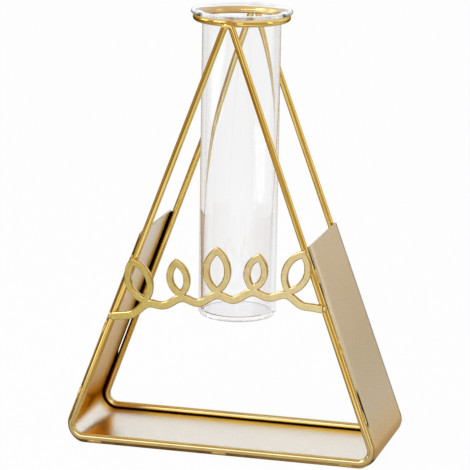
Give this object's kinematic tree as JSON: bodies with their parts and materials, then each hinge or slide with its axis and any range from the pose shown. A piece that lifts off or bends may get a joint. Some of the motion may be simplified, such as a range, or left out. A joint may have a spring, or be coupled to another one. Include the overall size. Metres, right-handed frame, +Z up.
{
  "type": "flower vase",
  "caption": "Flower vase: a clear glass tube hangs by its lip in a ring on a triangular stand of bent gold wire with a sheet band round its foot, and lifts out.",
  "frame": {"origin": "on the table, under the middle of the foot plate", "axes": "+Z up along the tube, +X to the right seen from the front, -Y towards the front, which carries the ornament"},
  "size_m": [0.1442, 0.0576, 0.1981],
  "materials": {
    "polished_wire": "polished",
    "satin_sheet": "satin",
    "brushed_sheet": "satin",
    "weld_metal": "satin",
    "clear_glass": "polished"
  },
  "bodies": {
    "stand": {"support_ring": "polished_wire", "front_frame": "polished_wire", "back_frame": "polished_wire", "base_band": "satin_sheet", "ornament": "brushed_sheet", "ring_weld_front": "weld_metal", "ring_weld_back": "weld_metal", "ornament_weld_left": "weld_metal", "ornament_weld_right": "weld_metal", "tack_weld_front_left_1": "weld_metal", "tack_weld_front_left_2": "weld_metal", "tack_weld_front_left_3": "weld_metal", "tack_weld_front_right_1": "weld_metal", "tack_weld_front_right_2": "weld_metal", "tack_weld_front_right_3": "weld_metal", "tack_weld_front_foot_1": "weld_metal", "tack_weld_front_foot_2": "weld_metal", "tack_weld_front_foot_3": "weld_metal", "tack_weld_back_left_1": "weld_metal", "tack_weld_back_left_2": "weld_metal", "tack_weld_back_left_3": "weld_metal", "tack_weld_back_right_1": "weld_metal", "tack_weld_back_right_2": "weld_metal", "tack_weld_back_right_3": "weld_metal", "tack_weld_back_foot_1": "weld_metal", "tack_weld_back_foot_2": "weld_metal", "tack_weld_back_foot_3": "weld_metal"},
    "tube": {"glass_tube": "clear_glass"}
  },
  "joints": [
    {"name": "tube_lift", "type": "slide", "parent": "stand", "child": "tube", "axis": [0, 0, 1], "range_m": [0, 0.145]}
  ]
}
